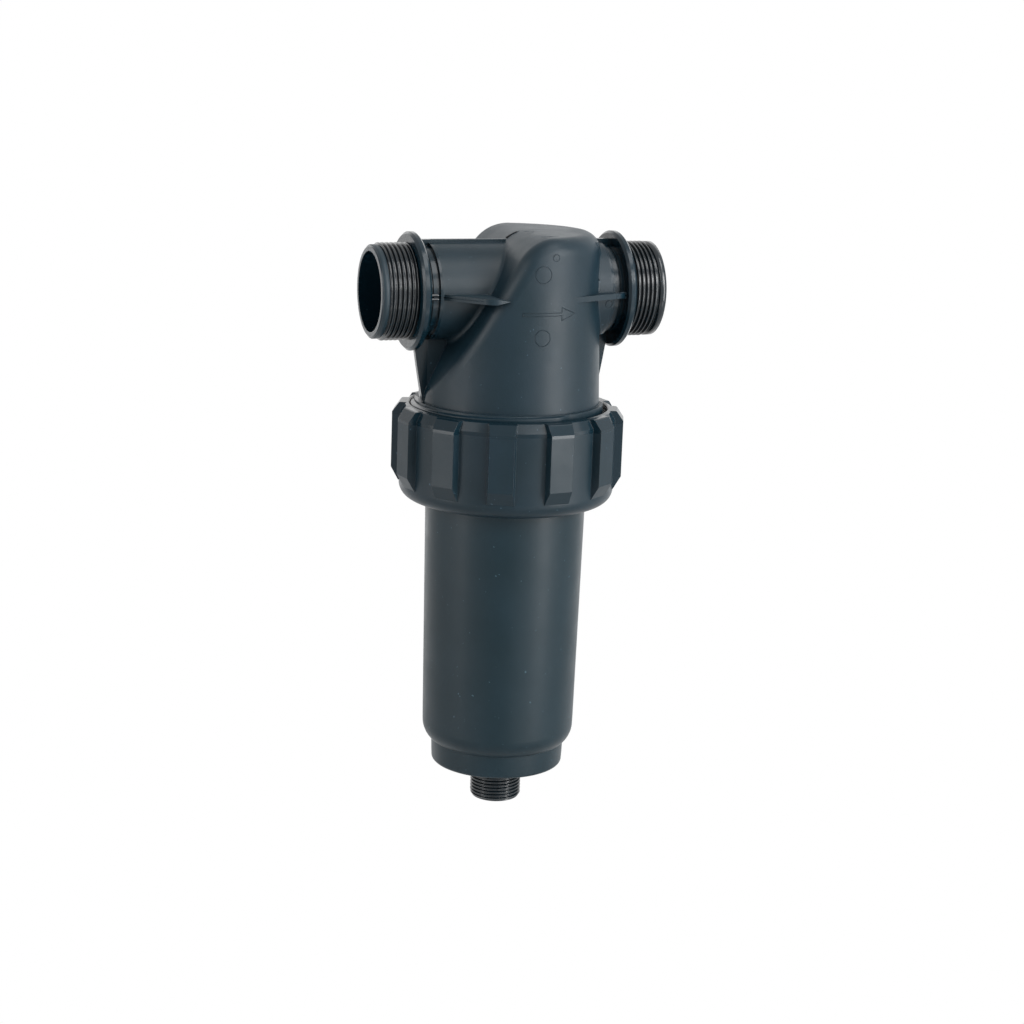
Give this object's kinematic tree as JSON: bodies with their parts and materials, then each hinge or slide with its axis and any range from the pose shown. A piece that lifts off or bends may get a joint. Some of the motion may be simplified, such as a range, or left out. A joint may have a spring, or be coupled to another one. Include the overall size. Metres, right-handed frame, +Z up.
{
  "type": "line screen filter",
  "caption": "Line screen filter: a moulded head with male threaded ports, a bowl clamped under it by a lugged ring nut, a screen cartridge inside and a drain nipple at the foot.",
  "frame": {"origin": "where the axis of the two ports crosses the axis of the bowl", "axes": "+X along the ports, the way the water leaves; +Y to the back; +Z up, along the bowl axis"},
  "size_m": [0.1482, 0.117, 0.2964],
  "materials": {
    "head_plastic": "fine eroded mould finish, dark slate",
    "nut_plastic": "fine eroded mould finish, dark slate, smoother on the top bevel",
    "bowl_plastic": "satin mould finish, dark slate",
    "cage_plastic": "plain moulded black",
    "screen_steel": "woven wire",
    "seal_rubber": "moulded nitrile"
  },
  "bodies": {
    "head": {"head": "head_plastic", "screen_cage": "cage_plastic", "screen_mesh": "screen_steel", "screen_end_cap": "cage_plastic", "screen_seal": "seal_rubber"},
    "bowl": {"bowl": "bowl_plastic", "bowl_o_ring": "seal_rubber"},
    "clamp_nut": {"clamp_nut": "nut_plastic"}
  },
  "joints": [
    {"name": "bowl_drop", "type": "slide", "parent": "head", "child": "bowl", "axis": [0, 0, -1], "range_m": [0, 0.024]},
    {"name": "nut_turn", "type": "hinge", "parent": "bowl", "child": "clamp_nut", "pos_m": [0, 0, -0.08], "axis": [0, 0, -1], "range_deg": [0, 1440]}
  ],
  "couplings": [
    {"joint": "bowl_drop", "follows": "nut_turn", "m_per_rad": 0.00095493}
  ]
}
